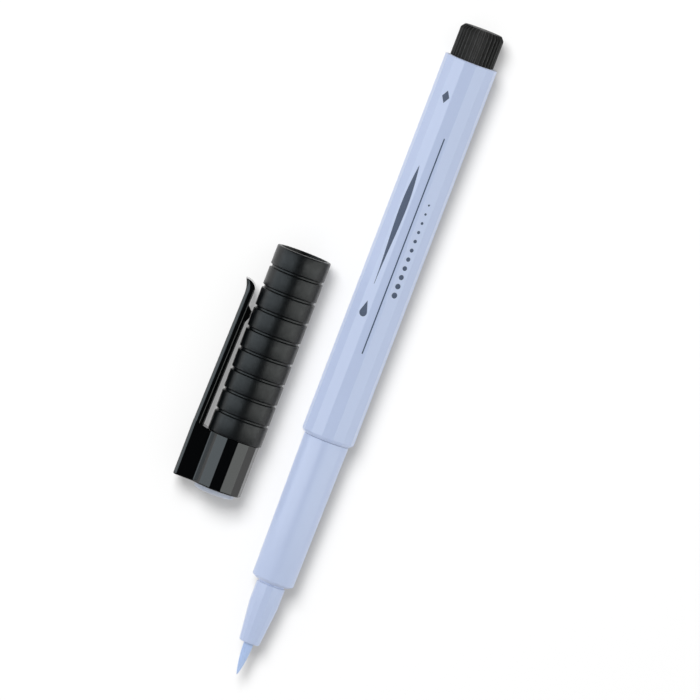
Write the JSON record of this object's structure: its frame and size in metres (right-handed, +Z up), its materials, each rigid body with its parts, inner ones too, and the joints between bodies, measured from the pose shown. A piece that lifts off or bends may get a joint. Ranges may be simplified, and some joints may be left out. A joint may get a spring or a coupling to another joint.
{
  "type": "brush-tipped calligraphy marker",
  "caption": "Faceted brush-tipped calligraphy marker lying with its ribbed cap taken off beside it; the cap slides, its clip springs and the soft tip bends.",
  "frame": {"origin": "on the table, under the middle of the box round the pen and the cap", "axes": "+Z up from the table, +Y along the pen from its brush tip to its end plug, with the cap on the -X side"},
  "size_m": [0.0324, 0.14, 0.0115],
  "materials": {
    "pale_blue_plastic": "satin moulded polypropylene",
    "matt_black_plastic": "fine matt texture",
    "gloss_black_plastic": "polished",
    "brush_fibre": "bonded fibre, soaked with ink",
    "inked_fibre": "loose fibre core, soaked with ink",
    "milk_white_plastic": "natural, slightly translucent"
  },
  "bodies": {
    "pen": {"barrel": "pale_blue_plastic", "grip_section": "pale_blue_plastic", "nib_holder": "pale_blue_plastic", "brush_shank": "brush_fibre", "ink_reservoir": "inked_fibre", "reservoir_film": "milk_white_plastic", "end_plug": "matt_black_plastic"},
    "brush": {"brush_tip": "brush_fibre"},
    "cap": {"cap_tube": "matt_black_plastic", "cap_crown": "gloss_black_plastic", "colour_button": "pale_blue_plastic", "inner_cap": "milk_white_plastic"},
    "clip": {"clip_arm": "gloss_black_plastic"}
  },
  "joints": [
    {"name": "cap_slide", "type": "slide", "parent": "pen", "child": "cap", "axis": [0, -1, 0], "range_m": [0, 0.09]},
    {"name": "clip_flex", "type": "hinge", "parent": "cap", "child": "clip", "pos_m": [-0.01483, -0.02545, 0.00574], "axis": [0, 0, 1], "range_deg": [0, 5], "stiffness_Nm_per_rad": 0.9},
    {"name": "brush_flex", "type": "hinge", "parent": "pen", "child": "brush", "pos_m": [0.01068, -0.0631, 0.0054], "axis": [0, 0, 1], "range_deg": [-20, 20], "stiffness_Nm_per_rad": 0.005}
  ]
}
